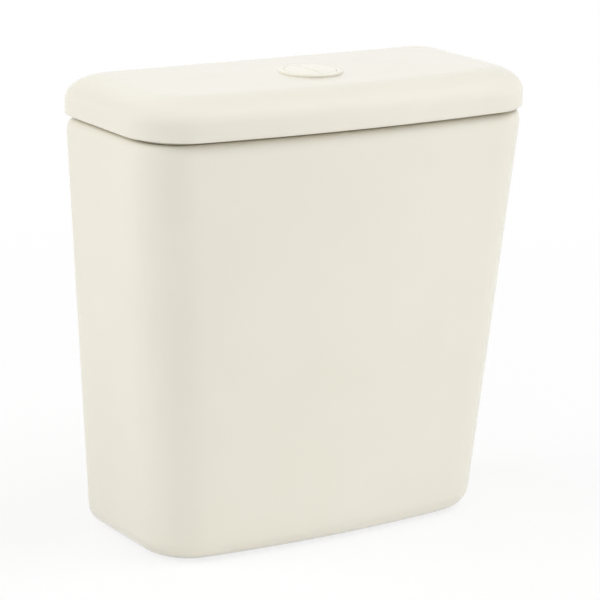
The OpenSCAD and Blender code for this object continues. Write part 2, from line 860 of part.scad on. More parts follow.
module flush_valve_base() {
  edge = min(seat_chamfer, (tail_r - throat_r) / 3);
  flange_r = flange_d / 2;
  color(white) at_outlet() {
    rotate_extrude() polygon([
      [tail_bore_r, tail_end], [spigot_d / 2, tail_end], [spigot_d / 2, spigot_z],
      [tail_r, spigot_z], [tail_r, flange_z], [flange_r, flange_z],
      [flange_r, collar_z], [tail_r, collar_z], [tail_r, valve_seat_z - edge],
      [tail_r - edge, valve_seat_z], [throat_r + edge, valve_seat_z],
      [throat_r, valve_seat_z - edge], [throat_r, throat_z], [tail_bore_r, throat_z]
    ]);
    around(post_count)
      block([ring_bore_r + post_inset, -post_w / 2, collar_z - cut],
            [ring_r - post_inset, post_w / 2, port_top + cut]);
    ring(ring_r, ring_bore_r, port_top, cage_z);
  }
}

module flush_washer() {
  color(rubber) at_outlet() ring(flush_washer_d / 2, tail_r + thread_gap, floor_z, flange_z);
}

module flush_backnut() {
  color(white) at_outlet() difference() {
    translate([0, 0, foot_h - backnut_h]) cylinder(d = backnut_d, h = backnut_h, $fn = 6);
    post(tail_r + thread_gap, foot_h - backnut_h - cut, foot_h + cut);
  }
}

module coupling_gasket() {
  in_r = max(tail_r, spigot_d / 2) + gasket_bore_gap;
  nut_r = backnut_d / 2 + gasket_nut_gap;
  collar_r = nut_r + gasket_wall;
  shelf = foot_h - backnut_h - rest_gap;
  top = foot_h - rest_gap;
  color(rubber) at_outlet() rotate_extrude() polygon([
    [in_r, gasket_lift], [gasket_d / 2 - gasket_taper, gasket_lift], [gasket_d / 2, shelf],
    [collar_r, shelf], [collar_r, top], [nut_r, top], [nut_r, shelf], [in_r, shelf]
  ]);
}

// Eye of the trip rod, on a web that starts from the cage's ring
module trip_eye(low, high) {
  eye_r = trip_hole_r + eye_t;
  post_x = ring_r - ring_t / 2;
  difference() {
    union() {
      translate([-trip_x, trip_y, 0]) post(eye_r, low, high);
      block([-trip_x, trip_y - eye_t, low], [-post_x, trip_y + eye_t, high]);
    }
    translate([-trip_x, trip_y, 0]) post(trip_hole_r, low - cut, high + cut);
  }
}

// Cheek that holds one end of the lever pin, from the inner to the outer face
module cheek(x_low, x_high) {
  top_d = hub_d * cheek_top_share;
  difference() {
    union() {
      along_x(x_low, x_high) polygon([
        [pivot_y - cheek_d / 2, plate_z - cut], [pivot_y + cheek_d / 2, plate_z - cut],
        [pivot_y + top_d / 2, pivot_z], [pivot_y - top_d / 2, pivot_z]
      ]);
      cross_pin(hub_d / 2, x_low, x_high, pivot_y, pivot_z);
    }
    cross_pin(pin_d / 2 + run_gap, x_low - cut, x_high + cut, pivot_y, pivot_z);
  }
}

module valve_cage() {
  tab_r = ring_r + rest_gap + tab_t;
  collar_r = tab_r + post_inset;
  guide_r = tube_r + slide_gap;
  plate_low = plate_z - plate_t;
  cheek_out = cheek_in + cheek_t;
  color(white) {
    at_outlet() {
      ring(collar_r, ring_bore_r, cage_z, cage_z + ring_h);
      around(tab_count) intersection() {
        ring(tab_r, ring_r + rest_gap, cage_z - tab_h, cage_z + cut);
        block([0, -tab_w / 2, cage_z - tab_h], [collar_r, tab_w / 2, cage_z + cut]);
      }
      rotate([0, 0, 45]) around(column_count)
        block([ring_bore_r + post_inset, -column_w / 2, cage_z + ring_h - cut],
              [ring_r - post_inset, column_w / 2, plate_low + cut]);
      ring(ring_r, ring_bore_r, stiffener_z, stiffener_z + ring_h);
      difference() {
        union() {
          post(ring_r, plate_low, plate_z);
          post(guide_r + guide_t, plate_low - guide_l, plate_z);
        }
        post(guide_r, plate_low - guide_l - cut, plate_z + cut);
      }
    }
    trip_eye(plate_low, plate_z);
    trip_eye(stiffener_z, stiffener_z + ring_h);
    cheek(cheek_in, cheek_out);
    cheek(-cheek_out, -cheek_in);
  }
}

module lever_pin() {
  pin_end = cheek_in + cheek_t + pin_over;
  color(steel) {
    cross_pin(pin_d / 2, -pin_end, pin_end, pivot_y, pivot_z);
    cross_pin(pin_d / 2 + pin_head_over, pin_end - pin_over + rest_gap, pin_end, pivot_y, pivot_z);
  }
}

// Rocking lever: pad below the push rod, hub on the pin, tip below the bar that it lifts
module lever(side) {
  top = pivot_z + lever_top;
  tip_low = top - lever_t * tip_share;
  hub_low = top - lever_t * belly_share;
  front = pivot_y - push_arm - pad_reach;
  back = pivot_y + lift_reach;
  mirror([side > 0 ? 0 : 1, 0, 0]) difference() {
    union() {
      along_x(rod_x - lever_w / 2, rod_x + lever_w / 2) polygon([
        [front, tip_low], [pivot_y - hub_d / 2, hub_low], [pivot_y + hub_d / 2, hub_low],
        [back, tip_low], [back, top], [front, top]
      ]);
      cross_pin(hub_d / 2, rest_gap, cheek_in - rest_gap, pivot_y, pivot_z);
    }
    cross_pin(pin_d / 2 + run_gap, -cut, cheek_in + cut, pivot_y, pivot_z);
  }
}

module full_flush_lever() {
  color(blue) lever(1);
}

module half_flush_lever() {
  color(green) lever(-1);
}

module overflow_tube() {
  rib_r = tube_r - tube_t / 2;
  rib_z = carrier_z + carrier_t;
  color(white) at_outlet() {
    rotate_extrude() polygon([
      [tube_bore_r, carrier_z], [carrier_d / 2, carrier_z], [carrier_d / 2, rib_z],
      [tube_r, rib_z], [tube_r, overflow_z], [tube_bore_r, overflow_z]
    ]);
    around(carrier_rib_count) rotate([90, 0, 0]) linear_extrude(tube_t, center = true) polygon([
      [rib_r, rib_z - carrier_t / 2], [carrier_d / 2 - tube_t, rib_z - carrier_t / 2],
      [carrier_d / 2 - tube_t, rib_z], [rib_r, rib_z + carrier_rib_h]
    ]);
  }
}

module lift_yoke() {
  clip_r = tube_r + thread_gap;
  clip_top = overflow_z - yoke_drop;
  clip_low = clip_top - yoke_ring_h;
  tongue_y = outlet_y + clip_r + yoke_t / 4;
  bar_top = bar_z + bar_h;
  half = tongue_w / 2;
  color(blue) {
    at_outlet() ring(clip_r + yoke_t, clip_r, clip_low, clip_top);
    block([-half, tongue_y, clip_low], [half, tongue_y + yoke_t, bar_top]);
    block([-half, bar_y, bar_z], [half, tongue_y + yoke_t, bar_top]);
    block([-half, bar_y, bar_z], [rod_x + lever_w / 2, bar_y + bar_d, bar_top]);
  }
}

module seat_seal() {
  color(rubber) at_outlet() ring(seal_d / 2, tube_bore_r, seal_z, carrier_z);
}

module seal_retainer() {
  neck_r = tube_bore_r - thread_gap;
  bore_r = neck_r - neck_t;
  low = seal_z - retainer_t;
  fin_r = min(tail_bore_r, throat_r) - 2 * slide_gap;
  color(grey) at_outlet() {
    rotate_extrude() polygon([
      [bore_r, low], [retainer_d / 2, low], [retainer_d / 2, seal_z], [neck_r, seal_z],
      [neck_r, carrier_z + neck_l], [bore_r, carrier_z + neck_l]
    ]);
    around(fin_count)
      block([retainer_d / 2 - fin_d, -neck_t / 2, low - fin_h],
            [fin_r, neck_t / 2, low + retainer_t / 2]);
  }
}

module full_flush_float() {
  low = floor_z + full_float_at;
  color(blue) at_outlet()
    float_cup(full_float_d / 2, tube_r + thread_gap, low, low + full_float_h);
}

module half_flush_rod() {
  color(green) {
    translate([-trip_x, trip_y, 0]) post(trip_d / 2, stiffener_z - trip_end, bar_z + bar_h / 2);
    block([-trip_x - trip_hole_r, bar_y, bar_z], [-rod_x + lever_w / 2, bar_y + bar_d, bar_z + bar_h]);
  }
}

module half_flush_float() {
  hole_r = trip_d / 2 + thread_gap;
  low = stiffener_z + ring_h + half_float_at;
  top = low + half_float_h;
  cup_x = trip_x + hole_r + half_float_d / 2 + rest_gap;
  color(green) {
    translate([-cup_x, trip_y, 0]) float_cup(half_float_d / 2, 0, low, top);
    translate([-trip_x, trip_y, 0]) ring(hole_r + clamp_t, hole_r, top - clamp_h, top - 2 * float_t);
  }
}

// Fill valve

module fill_valve_shank() {
  bore_r = inlet_bore / 2;
  flange_r = inlet_flange_d / 2;
  flange_top = inlet_flange_z + inlet_flange_t;
  top = floor_z + shank_h;
  color(white) at_inlet() rotate_extrude() polygon([
    [bore_r, tail_end], [inlet_r, tail_end], [inlet_r, relief_z], [inlet_r - relief_t, relief_z],
    [inlet_r - relief_t, relief_z + relief_t], [inlet_r, relief_z + relief_t],
    [inlet_r, inlet_flange_z], [flange_r, inlet_flange_z], [flange_r, flange_top],
    [shank_d / 2, flange_top], [shank_d / 2, top], [bore_r, top]
  ]);
}

module inlet_washer() {
  color(rubber) at_inlet() ring(inlet_washer_d / 2, inlet_r + thread_gap, floor_z, inlet_flange_z);
}

module inlet_backnut() {
  color(white) at_inlet() difference() {
    translate([0, 0, foot_h - inlet_nut_h]) cylinder(d = inlet_nut_d, h = inlet_nut_h, $fn = 6);
    post(inlet_r + thread_gap, foot_h - inlet_nut_h - cut, foot_h + cut);
  }
}

module inlet_filter() {
  r = inlet_bore / 2 - rest_gap;
  low = tail_end + cut;
  top = low + filter_l;
  color(grey) at_inlet() {
    post(r, low, low + filter_t);
    post(r, top - filter_t, top);
    for (turn = [0, 90]) rotate([0, 0, turn])
      block([-r + filter_t / 2, -filter_t / 2, low + filter_t / 2],
            [r - filter_t / 2, filter_t / 2, top - filter_t / 2]);
  }
}

module height_lock_nut() {
  top = body_z - rest_gap;
  color(grey) at_inlet() difference() {
    translate([0, 0, top - lock_h]) cylinder(d = lock_d, h = lock_h, $fn = 8);
    post(shank_d / 2 + thread_gap, top - lock_h - cut, top + cut);
  }
}

module fill_valve_body() {
  bore_r = inlet_bore / 2;
  r = body_d / 2;
  stop_top = fill_float_z - rest_gap;
  step_z = floor_z + shank_h + slide_room;
  neck_z = head_z - head_h - head_cone;
  color(white) at_inlet() rotate_extrude() polygon([
    [body_bore_r, body_z], [r, body_z], [r, stop_top - stop_h], [stop_d / 2, stop_top - stop_h],
    [stop_d / 2, stop_top], [r, stop_top], [r, neck_z], [head_d / 2, head_z - head_h],
    [head_d / 2, head_z], [bore_r, head_z], [bore_r, step_z], [body_bore_r, step_z]
  ]);
}

module diaphragm() {
  color(rubber) at_inlet() post(diaphragm_d / 2, head_z, cap_under);
}

module fill_valve_cap() {
  low = head_z - cap_skirt;
  ear_in = arm_w / 2 + rest_gap;
  ear_r = arm_pin_d / 2 + run_gap + ear_t;
  color(grey) at_inlet() {
    rotate_extrude() polygon([
      [cap_bore_r, low], [cap_r, low], [cap_r, cap_z - cap_wall], [cap_r - cap_wall, cap_z],
      [0, cap_z], [0, cap_under], [cap_bore_r, cap_under]
    ]);
    around(cap_rib_count)
      block([cap_r - cap_wall / 2, -cap_rib_w / 2, low + cap_wall],
            [cap_r + cap_wall / 2, cap_rib_w / 2, cap_z - 2 * cap_wall]);
    for (side = [-1, 1]) mirror([side > 0 ? 0 : 1, 0, 0]) difference() {
      union() {
        block([ear_in, arm_back - ear_r * ear_share, cap_z - cap_wall],
              [ear_in + ear_t, arm_back + ear_r * ear_share, arm_pin_z]);
        cross_pin(ear_r, ear_in, ear_in + ear_t, arm_back, arm_pin_z);
      }
      cross_pin(arm_pin_d / 2 + run_gap, ear_in - cut, ear_in + ear_t + cut, arm_back, arm_pin_z);
    }
  }
}

module float_arm() {
  hub_r = arm_pin_d / 2 + run_gap + ear_t;
  color(grey) translate([inlet_at, arm_pin_y, arm_pin_z]) rotate([arm_drop, 0, 0]) difference() {
    union() {
      block([-arm_w / 2, -arm_l, -arm_t / 2], [arm_w / 2, hub_r * ear_share, arm_t / 2]);
      cross_pin(hub_r, -arm_w / 2, arm_w / 2, 0, 0);
      translate([0, -arm_l, 0]) post(eye_d / 2, -arm_t / 2, arm_t / 2);
    }
    cross_pin(arm_pin_d / 2 + run_gap, -arm_w / 2 - cut, arm_w / 2 + cut, 0, 0);
    translate([0, -arm_l, 0]) post(adjuster_d / 2 + eye_gap, -arm_t, arm_t);
  }
}

module arm_pin() {
  pin_end = arm_w / 2 + rest_gap + ear_t + pin_over;
  color(steel) translate([inlet_at, 0, 0]) {
    cross_pin(arm_pin_d / 2, -pin_end, pin_end, arm_pin_y, arm_pin_z);
    cross_pin(arm_pin_d / 2 + arm_head_over, pin_end - pin_over + rest_gap, pin_end, arm_pin_y, arm_pin_z);
  }
}

module fill_float() {
  top = fill_float_z + fill_float_h;
  boss_r = adjuster_d / 2 + thread_gap + clamp_t;
  hole_r = adjuster_d / 2 + thread_gap;
  color(blue) at_inlet() {
    float_cup(fill_float_d / 2, body_d / 2 + slide_gap, fill_float_z, top);
    difference() {
      union() {
        translate([0, -adjuster_off, 0]) post(boss_r, top - boss_h, top - float_t);
        block([-clamp_t, -adjuster_off, top - boss_h],
              [clamp_t, -fill_float_d / 2 + float_t / 2, top - float_t]);
      }
      translate([0, -adjuster_off, 0]) post(hole_r, top - boss_h - cut, top + cut);
    }
  }
}

module float_adjuster() {
  low = fill_float_z + fill_float_h - boss_h - collar_h;
  under = arm_tip_z - collar_gap;
  over = arm_tip_z + collar_gap;
  color(white) translate([inlet_at, adjuster_y, 0]) {
    post(adjuster_d / 2, low, over + collar_h + adjuster_d);
    post(collar_d / 2, under - collar_h, under);
    post(collar_d / 2, over, over + collar_h);
  }
}

// Nodes

tank();
lid();
button_bezel();
button_washer();
button_nut();
full_flush_button();
half_flush_button();
full_push_rod();
half_push_rod();
full_button_spring();
half_button_spring();
flush_valve_base();
flush_washer();
flush_backnut();
coupling_gasket();
valve_cage();
lever_pin();
full_flush_lever();
half_flush_lever();
overflow_tube();
lift_yoke();
seat_seal();
seal_retainer();
full_flush_float();
half_flush_rod();
half_flush_float();
fill_valve_shank();
inlet_washer();
inlet_backnut();
inlet_filter();
height_lock_nut();
fill_valve_body();
diaphragm();
fill_valve_cap();
float_arm();
arm_pin();
fill_float();
float_adjuster();
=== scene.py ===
"""Looks of a close-coupled toilet cistern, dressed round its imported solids."""
import json
import math

import bmesh
import bpy
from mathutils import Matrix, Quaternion, Vector

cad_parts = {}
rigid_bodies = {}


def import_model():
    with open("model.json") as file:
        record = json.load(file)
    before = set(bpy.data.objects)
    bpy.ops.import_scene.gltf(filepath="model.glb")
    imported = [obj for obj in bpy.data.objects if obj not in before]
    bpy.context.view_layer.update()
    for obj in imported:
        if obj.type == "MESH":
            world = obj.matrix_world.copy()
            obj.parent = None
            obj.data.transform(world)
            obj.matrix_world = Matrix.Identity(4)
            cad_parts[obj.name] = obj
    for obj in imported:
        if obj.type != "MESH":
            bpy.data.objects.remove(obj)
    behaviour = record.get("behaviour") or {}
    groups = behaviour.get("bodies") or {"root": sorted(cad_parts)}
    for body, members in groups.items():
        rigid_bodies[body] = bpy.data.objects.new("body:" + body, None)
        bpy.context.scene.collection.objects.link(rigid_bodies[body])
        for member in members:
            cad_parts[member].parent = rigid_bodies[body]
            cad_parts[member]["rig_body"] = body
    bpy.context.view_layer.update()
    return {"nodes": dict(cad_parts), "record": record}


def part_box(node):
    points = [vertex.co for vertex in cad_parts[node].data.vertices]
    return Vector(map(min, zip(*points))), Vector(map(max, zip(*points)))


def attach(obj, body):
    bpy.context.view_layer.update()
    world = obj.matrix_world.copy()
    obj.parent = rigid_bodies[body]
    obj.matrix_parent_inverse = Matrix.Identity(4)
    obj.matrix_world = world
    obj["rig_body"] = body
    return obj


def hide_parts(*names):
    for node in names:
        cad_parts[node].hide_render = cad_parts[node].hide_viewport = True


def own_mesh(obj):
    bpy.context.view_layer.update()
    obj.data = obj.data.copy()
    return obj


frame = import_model()
solids = frame["nodes"]
slot_of = {row["node"]: row["material_slot"] for row in frame["record"]["subparts"]}

MM = 0.001

# Sizes of the ceramic, as in the part's source, in millimetres
TANK_H = 353.5
RIM_W, BASE_W = 376, 325
RIM_D, BASE_D = 158, 142
FRONT_BOW = 12.5
RIM_CORNER, BASE_CORNER = 42, 47
BACK_CORNER, INNER_CORNER = 8, 4
BASE_ROUND, SHOULDER_W, SHOULDER_H = 18, 5, 12
WALL_T, RIM_T, RIM_H = 10, 16, 14
FLOOR_T, FOOT_H, FOOT_W = 12, 28, 5
RECESS_DRAFT, FLOOR_ROUND = 1.5, 14
SEAT_GAP = 0.3
LID_H, LID_T = 36, 10
SIDE_OVER, FRONT_OVER, BACK_OVER = 2.75, 3.25, 10.25
LID_CORNER, LID_BACK_CORNER = 51.5, 25
TOP_CORNER, TOP_BACK_CORNER = 24, 12
EDGE_H, EDGE_W, EDGE_BACK = 20.5, 31.5, 22
LOWER_EDGE, HOLLOW_ROUND = 3, 8
SEAM_H, SEAT_IN = 2.7, 9
LIP_H, LIP_T, LIP_GAP = 8, 7, 3
SLEEVE_R, TAIL_R, INLET_R, HOLE_GAP = 24, 23.9, 10.45, 1
BOLT_R, BOLT_SPACING, INLET_X = 6, 150, 110

# Sizes of the button's and valves' threads and springs
BUTTON_OFF, ROD_X, ROD_OFF = 4, 10, 10
SLEEVE_L, WEB_T, BEZEL_H, CAP_T, PRESS = 36, 2.5, 2.2, 2.4, 7
SPRING_R, WIRE_R, SPRING_TURNS, COIL_STEPS = 4.65, 0.45, 9, 24
TAIL_END, TAIL_TOP, SHANK_R, SHANK_LOW, SHANK_HIGH = 3, 17, 9, 49, 106.2
ADJUSTER_R, ADJUSTER_Y, ADJUSTER_LOW, ADJUSTER_HIGH = 2, -29.5, 178, 246

LID_D = RIM_D + FRONT_OVER + BACK_OVER
BACK_Y = LID_D / 2 - BACK_OVER
OUTLET_Y = BACK_Y - BASE_D / 2
FLOOR_Z = FOOT_H + FLOOR_T
SEAT_Z = TANK_H + SEAT_GAP
LID_TOP = SEAT_Z + LID_H
LID_UNDER = LID_TOP - LID_T
WEB_Z = LID_TOP - SLEEVE_L
SPRING_LOW = WEB_Z + WEB_T + SEAT_GAP
SPRING_HIGH = LID_TOP + BEZEL_H - CAP_T - SEAT_GAP

# Points along an outline, and rings over its height
BOW_STEPS, CORNER_STEPS, SIDE_STEPS = 18, 20, 6
BACK_CORNER_STEPS, BACK_STEPS = 8, 12
ROUND_STEPS, WALL_STEPS, DOME_STEPS, SOFT_STEPS = 18, 22, 26, 4
FOOT_SOFT, RIM_SOFT, LIP_SOFT, SEAT_SOFT = 1.2, 1.5, 1.2, 0.5

HOLE_STEPS, THREAD_STEPS, WIRE_STEPS, EDGE_STEPS = 64, 40, 3, 2
FLANK_SHARE, COIL_GAP = 0.46, 1.02

SAME_POINT = 0.002
FLAT = math.radians(0.2)
SHARP = math.radians(40)
SMOOTH = math.radians(35)


# Modelling

def clear_hands():
    """Leaves edit mode with nothing selected"""
    if bpy.context.object and bpy.context.object.mode != "OBJECT":
        bpy.ops.object.mode_set(mode="OBJECT")
    bpy.ops.object.select_all(action="DESELECT")


def take(piece):
    """Makes a piece the only one selected"""
    clear_hands()
    piece.select_set(True)
    bpy.context.view_layer.objects.active = piece


def mix(low, high, share):
    return low + (high - low) * share


def arc(x, y, r, start, end, steps):
    """Points of an arc, where angle 0 points to the front and a right angle to the right"""
    turns = [mix(start, end, i / steps) for i in range(steps + 1)]
    return [(x + r * math.sin(a), y - r * math.cos(a)) for a in turns]


def straight(start, end, steps):
    return [(mix(start[0], end[0], i / steps), mix(start[1], end[1], i / steps))
            for i in range(1, steps)]


def outline(half, front, back, corner, back_corner, bow_r):
    """Section of tank or lid: bowed front, tangent corners, flat sides and back"""
    bow_y = front + bow_r
    corner_x = half - corner
    corner_y = bow_y - math.sqrt((bow_r - corner) ** 2 - corner_x ** 2)
    turn = math.atan2(corner_x, bow_y - corner_y)
    right = arc(0, bow_y, bow_r, 0, turn, BOW_STEPS)
    right += arc(corner_x, corner_y, corner, turn, math.pi / 2, CORNER_STEPS)[1:]
    turned = arc(half - back_corner, back - back_corner, back_corner,
                 math.pi / 2, math.pi, BACK_CORNER_STEPS)
    right += straight(right[-1], turned[0], SIDE_STEPS) + turned
    right += straight(turned[-1], (0, back), BACK_STEPS) + [(0, back)]
    return right + [(-x, y) for x, y in reversed(right[1:-1])]


def bow_radius(half):
    return (half * half + FRONT_BOW * FRONT_BOW) / (2 * FRONT_BOW)


def tank_ring(z, inset, plan_z):
    """Ring at height z, on the tank's outline at the height plan_z, drawn in by inset"""
    share = plan_z / TANK_H
    half = mix(BASE_W, RIM_W, share) / 2
    section = outline(half - inset, BACK_Y - mix(BASE_D, RIM_D, share) + inset, BACK_Y - inset,
                      mix(BASE_CORNER, RIM_CORNER, share) - inset,
                      max(BACK_CORNER - inset, INNER_CORNER), bow_radius(half) - inset)
    return [(x, y, z) for x, y in section]


def lid_ring(z, inset, share):
    """Ring of the lid at height z, drawn in by a share of the rounded edge's reach"""
    half = RIM_W / 2 + SIDE_OVER
    reach = inset + EDGE_W * share
    section = outline(half - reach, BACK_Y - RIM_D - FRONT_OVER + reach,
                      BACK_Y + BACK_OVER - inset - EDGE_BACK * share,
                      mix(LID_CORNER, TOP_CORNER, share) - inset,
                      mix(LID_BACK_CORNER, TOP_BACK_CORNER, share) - inset,
                      bow_radius(half) - reach)
    return [(x, y, z) for x, y in section]


def quarter(steps):
    """Angles of a quarter turn, with its sine and cosine drawn off one"""
    turns = [math.pi / 2 * i / steps for i in range(steps + 1)]
    return [(1 - math.sin(a), 1 - math.cos(a)) for a in turns]


def raise_rings(name, rings):
    """Closed piece, extruded ring by ring from a filled circle"""
    clear_hands()
    bpy.ops.mesh.primitive_circle_add(vertices=len(rings[0]), radius=1, fill_type="NGON")
    piece = bpy.context.object
    piece.name = name
    bpy.ops.object.mode_set(mode="EDIT")
    bpy.ops.mesh.select_mode(type="FACE")
    for k, ring in enumerate(rings):
        if k:
            bpy.ops.mesh.extrude_region_move()
        work = bmesh.from_edit_mesh(piece.data)
        cap = next(f for f in work.faces if f.select)
        corners = list(cap.verts)
        if k:
            first = min(corners, key=lambda v: (v.co - start).length)
            at = corners.index(first)
            corners = corners[at:] + corners[:at]
        for v, p in zip(corners, ring):
            v.co = Vector(p) * MM
        start = corners[0].co.copy()
        bmesh.update_edit_mesh(piece.data)
    bpy.ops.mesh.select_all(action="SELECT")
    bpy.ops.mesh.normals_make_consistent(inside=False)
    bpy.ops.object.mode_set(mode="OBJECT")
    return piece


def carve(piece, tool):
    """Cuts a tool out of a piece and puts the tool away"""
    take(piece)
    cut = piece.modifiers.new("carve", "BOOLEAN")
    cut.operation = "DIFFERENCE"
    cut.solver = "EXACT"
    cut.object = tool
    bpy.ops.object.modifier_apply(modifier=cut.name)
    bpy.data.objects.remove(tool)


def close_up(gap):
    """Merges points that lie within a gap of each other and drops faces without area"""
    bpy.ops.mesh.select_all(action="SELECT")
    bpy.ops.mesh.remove_doubles(threshold=gap * MM)
    bpy.ops.mesh.dissolve_degenerate(threshold=gap * MM)


def drill(piece, x, y, r, low, high):
    """Cuts a round upright hole"""
    clear_hands()
    bpy.ops.mesh.primitive_cylinder_add(
        vertices=HOLE_STEPS, radius=r * MM, depth=(high - low) * MM,
        location=(x * MM, y * MM, (low + high) / 2 * MM))
    carve(piece, bpy.context.object)


def cut_thread(piece, x, y, r, low, high, pitch, depth):
    """Winds a groove round an upright stem, between two heights"""
    clear_hands()
    bpy.ops.mesh.primitive_circle_add(vertices=3, radius=1, fill_type="NOTHING")
    tool = bpy.context.object
    flank, proud = pitch * FLANK_SHARE, r + depth / 4
    corners = [(r - depth, low), (proud, low + flank), (proud, low - flank)]
    bpy.ops.object.mode_set(mode="EDIT")
    work = bmesh.from_edit_mesh(tool.data)
    for v, (out, z) in zip(work.verts, corners):
        v.co = Vector((out, 0, z)) * MM
    bmesh.update_edit_mesh(tool.data)
    bpy.ops.object.mode_set(mode="OBJECT")
    wind = tool.modifiers.new("wind", "SCREW")
    wind.screw_offset = pitch * MM
    wind.iterations = round((high - low) / pitch)
    wind.steps = wind.render_steps = THREAD_STEPS
    bpy.ops.object.modifier_apply(modifier=wind.name)
    bpy.ops.object.mode_set(mode="EDIT")
    bpy.ops.mesh.select_all(action="SELECT")
    bpy.ops.mesh.fill_holes(sides=3)
    bpy.ops.mesh.normals_make_consistent(inside=False)
    bpy.ops.transform.translate(value=(x * MM, y * MM, 0))
    bpy.ops.object.mode_set(mode="OBJECT")
    carve(piece, tool)
    bpy.ops.object.mode_set(mode="EDIT")
    close_up(SAME_POINT)
    bpy.ops.object.mode_set(mode="OBJECT")


def smooth(piece, angle=SMOOTH):
    take(piece)
    bpy.ops.object.shade_smooth_by_angle(angle=angle)


def stand_for(piece, node, finish=None):
    """Seats a piece on the body of the solid that it replaces, in that solid's finish or its own"""
    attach(piece, solids[node]["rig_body"])
    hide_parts(node)
    piece.data.materials.clear()
    piece.data.materials.append(finish or finishes[slot_of[node]])


def cast_tank():
    inset = BASE_ROUND + FOOT_W
    rings = [tank_ring(FOOT_H, inset + RECESS_DRAFT, 0)]
    rings += [tank_ring(FOOT_SOFT * c, inset - FOOT_SOFT * s, 0)
              for s, c in reversed(quarter(SOFT_STEPS))]
    rings += [tank_ring(BASE_ROUND * c, BASE_ROUND * s, BASE_ROUND * c)
              for s, c in quarter(ROUND_STEPS)]
    wall_low, wall_high = BASE_ROUND, TANK_H - SHOULDER_H
    rings += [tank_ring(z, 0, z) for z in
              [mix(wall_low, wall_high, i / WALL_STEPS) for i in range(1, WALL_STEPS)]]
    rings += [tank_ring(TANK_H - SHOULDER_H * s, SHOULDER_W * c, TANK_H - SHOULDER_H * s)
              for s, c in quarter(ROUND_STEPS // 2)]
    rings += [tank_ring(TANK_H - RIM_SOFT * c, RIM_T - RIM_SOFT * s, TANK_H)
              for s, c in quarter(SOFT_STEPS)]
    inner = TANK_H - RIM_H - RIM_T + WALL_T
    rings += [tank_ring(TANK_H - RIM_H, RIM_T, TANK_H - RIM_H), tank_ring(inner, WALL_T, inner)]
    low = FLOOR_Z + FLOOR_ROUND
    rings += [tank_ring(z, WALL_T, z) for z in
              [mix(inner, low, i / WALL_STEPS) for i in range(1, WALL_STEPS)]]
    rings += [tank_ring(FLOOR_Z + FLOOR_ROUND * c, WALL_T + FLOOR_ROUND * s, FLOOR_Z + FLOOR_ROUND * c)
              for s, c in reversed(quarter(ROUND_STEPS // 2))]
    piece = raise_rings("tank_cast", rings)
    low, high = FOOT_H - HOLE_GAP, FLOOR_Z + HOLE_GAP
    drill(piece, 0, OUTLET_Y, TAIL_R + HOLE_GAP, low, high)
    drill(piece, INLET_X, OUTLET_Y, INLET_R + HOLE_GAP, low, high)
    for side in (-1, 1):
        drill(piece, side * BOLT_SPACING / 2, OUTLET_Y, BOLT_R, low, high)
    smooth(piece)
    stand_for(piece, "tank", glazed("tank_glaze", FOOT_SOFT / 2))


def cast_lid():
    lip_in = RIM_T + LIP_GAP + LIP_T
    lip_out = RIM_T + LIP_GAP
    low, edge = SEAT_Z - LIP_H, SEAT_Z + SEAM_H
    rings = [tank_ring(LID_UNDER - HOLLOW_ROUND * c, lip_in + HOLLOW_ROUND * s, TANK_H)
             for s, c in quarter(SOFT_STEPS * 2)]
    rings += [tank_ring(low + LIP_SOFT * c, lip_in - LIP_SOFT * s, TANK_H)
              for s, c in reversed(quarter(SOFT_STEPS))]
    rings += [tank_ring(low + LIP_SOFT * c, lip_out + LIP_SOFT * s, TANK_H)
              for s, c in quarter(SOFT_STEPS)]
    rings += [tank_ring(SEAT_Z, lip_out, TANK_H)]
    rings += [tank_ring(SEAT_Z + SEAT_SOFT * c, SEAT_IN + SEAT_SOFT * s, TANK_H)
              for s, c in quarter(SOFT_STEPS)]
    rings += [tank_ring(edge, SEAT_IN - SEAM_H, TANK_H)]
    rings += [lid_ring(edge + LOWER_EDGE * c, LOWER_EDGE * s, 0) for s, c in quarter(SOFT_STEPS * 2)]
    rings += [lid_ring(LID_TOP - EDGE_H * s, 0, c) for s, c in quarter(DOME_STEPS)]
    piece = raise_rings("lid_cast", rings)
    drill(piece, 0, -BUTTON_OFF, SLEEVE_R + HOLE_GAP, LID_UNDER - HOLE_GAP, LID_TOP + HOLE_GAP)
    smooth(piece)
    stand_for(piece, "lid", glazed("lid_glaze", SEAT_Z + SEAT_SOFT / 2))


def wind_spring(side, node):
    """Return spring with closed ends, wound between its web and its button's cap"""
    x, y = side * ROD_X, -BUTTON_OFF - ROD_OFF
    low, high = SPRING_LOW + WIRE_R, SPRING_HIGH - WIRE_R
    closed = 2 * WIRE_R * COIL_GAP
    steps = SPRING_TURNS * COIL_STEPS
    clear_hands()
    bpy.ops.curve.primitive_bezier_circle_add(radius=1)
    coil = bpy.context.object
    coil.name = node + "_wound"
    coil.data.splines.clear()
    line = coil.data.splines.new("POLY")
    line.points.add(steps)
    for k, point in enumerate(line.points):
        turn = k / COIL_STEPS
        if turn < 1:
            z = low + closed * turn
        elif turn > SPRING_TURNS - 1:
            z = high - closed * (SPRING_TURNS - turn)
        else:
            z = mix(low + closed, high - closed, (turn - 1) / (SPRING_TURNS - 2))
        a = 2 * math.pi * turn
        place = Vector((x + SPRING_R * math.cos(a), y + SPRING_R * math.sin(a), z)) * MM
        point.co = (*place, 1)
    coil.data.bevel_depth = WIRE_R * MM
    coil.data.bevel_resolution = WIRE_STEPS
    coil.data.use_fill_caps = True
    bpy.ops.object.convert(target="MESH")
    coil = bpy.context.object
    smooth(coil)
    stand_for(coil, node)
    keep = 1 - PRESS / (SPRING_HIGH - SPRING_LOW)
    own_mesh(coil)


